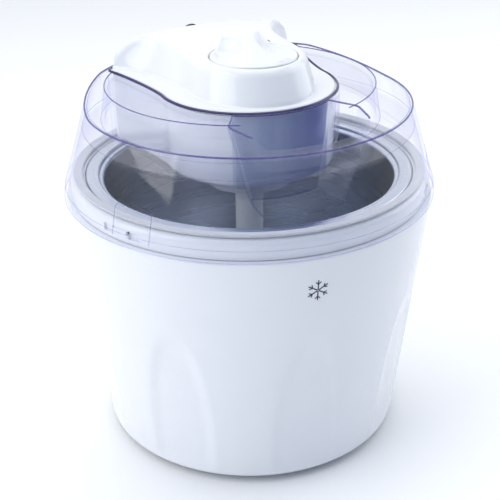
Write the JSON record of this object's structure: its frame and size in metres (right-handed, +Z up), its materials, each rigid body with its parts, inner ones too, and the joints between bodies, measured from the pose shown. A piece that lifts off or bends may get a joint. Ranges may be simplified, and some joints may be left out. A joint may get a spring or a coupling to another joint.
{
  "type": "ice cream maker",
  "caption": "Round ice cream maker with a tapered white body, double-walled freezer bowl, clear twist-on lid with a chute, and a lift-off motor unit with a rotary knob.",
  "frame": {"origin": "on the floor, at the centre of the round base and on the paddle's drive axis", "axes": "+Z up along the drive axis, -Y towards the front where the lid's chute is, +X to the right seen from the front"},
  "size_m": [0.21, 0.21, 0.232],
  "materials": {
    "white_gloss": "glossy moulded plastic, slightly cool white",
    "liner_grey": "fine matt",
    "bowl_aluminium": "satin, spun",
    "bright_steel": "satin plated",
    "blue_gel": "frozen gel, hidden in the bowl's double wall",
    "grey_rubber": "matt",
    "clear_silicone": "translucent, soft",
    "clear_plastic": "clear moulded plastic with a faint blue tint",
    "zinc_plate": "zinc plated sheet",
    "bearing_brass": "sintered bearing metal",
    "black_plastic": "matt",
    "white_nylon": "moulded nylon"
  },
  "bodies": {
    "base": {"outer_body": "white_gloss", "base_plate": "white_gloss", "collar_ring": "white_gloss", "inner_liner": "liner_grey", "rubber_foot_1": "grey_rubber", "rubber_foot_2": "grey_rubber", "rubber_foot_3": "grey_rubber", "rubber_foot_4": "grey_rubber", "base_screw_1": "bright_steel", "base_screw_2": "bright_steel", "base_screw_3": "bright_steel", "base_screw_4": "bright_steel"},
    "freezer_bowl": {"bowl_inner_pan": "bowl_aluminium", "bowl_outer_jacket": "bowl_aluminium", "bowl_bottom_cap": "bright_steel", "cooling_gel": "blue_gel", "gel_fill_plug": "grey_rubber"},
    "lid_seal": {"lid_seal": "clear_silicone"},
    "lid": {"clear_lid": "clear_plastic"},
    "motor_unit": {"motor_top_cover": "white_gloss", "motor_lower_housing": "white_gloss", "motor_can": "bright_steel", "gearbox_plate": "zinc_plate", "rotary_switch": "black_plastic", "shaft_bush": "bearing_brass", "cord_gland": "black_plastic", "cover_screw_1": "bright_steel", "cover_screw_2": "bright_steel", "cover_screw_3": "bright_steel", "cover_screw_4": "bright_steel", "plate_screw_1": "bright_steel", "plate_screw_2": "bright_steel", "plate_screw_3": "bright_steel", "plate_screw_4": "bright_steel"},
    "knob": {"control_knob": "white_gloss", "knob_spindle": "bright_steel"},
    "drive": {"drive_shaft": "bright_steel", "output_gear": "white_nylon"},
    "pinion": {"motor_pinion": "white_nylon", "motor_shaft": "bright_steel"},
    "paddle": {"paddle": "white_nylon"}
  },
  "joints": [
    {"name": "bowl_lift", "type": "slide", "parent": "base", "child": "freezer_bowl", "axis": [0, 0, 1], "range_m": [0, 0.18]},
    {"name": "lid_lift", "type": "slide", "parent": "freezer_bowl", "child": "lid_seal", "axis": [0, 0, 1], "range_m": [0, 0.16]},
    {"name": "lid_twist", "type": "hinge", "parent": "lid_seal", "child": "lid", "pos_m": [0, 0, 0.158], "axis": [0, 0, 1], "range_deg": [-5, 0]},
    {"name": "motor_lift", "type": "slide", "parent": "lid", "child": "motor_unit", "axis": [0, 0, 1], "range_m": [0, 0.1]},
    {"name": "knob_turn", "type": "hinge", "parent": "motor_unit", "child": "knob", "pos_m": [0.00069, -0.00787, 0.224], "axis": [0, 0, 1], "range_deg": [-38, 0]},
    {"name": "drive_spin", "type": "hinge", "parent": "motor_unit", "child": "drive", "pos_m": [0, 0, 0.17], "axis": [0, 0, 1], "continuous": true},
    {"name": "pinion_spin", "type": "hinge", "parent": "motor_unit", "child": "pinion", "pos_m": [-0.00244, 0.02789, 0.17], "axis": [0, 0, 1], "continuous": true},
    {"name": "paddle_spin", "type": "hinge", "parent": "lid", "child": "paddle", "pos_m": [0, 0, 0.14], "axis": [0, 0, 1], "continuous": true}
  ],
  "couplings": [
    {"joint": "drive_spin", "follows": "paddle_spin", "ratio": 1},
    {"joint": "pinion_spin", "follows": "paddle_spin", "ratio": -3}
  ]
}
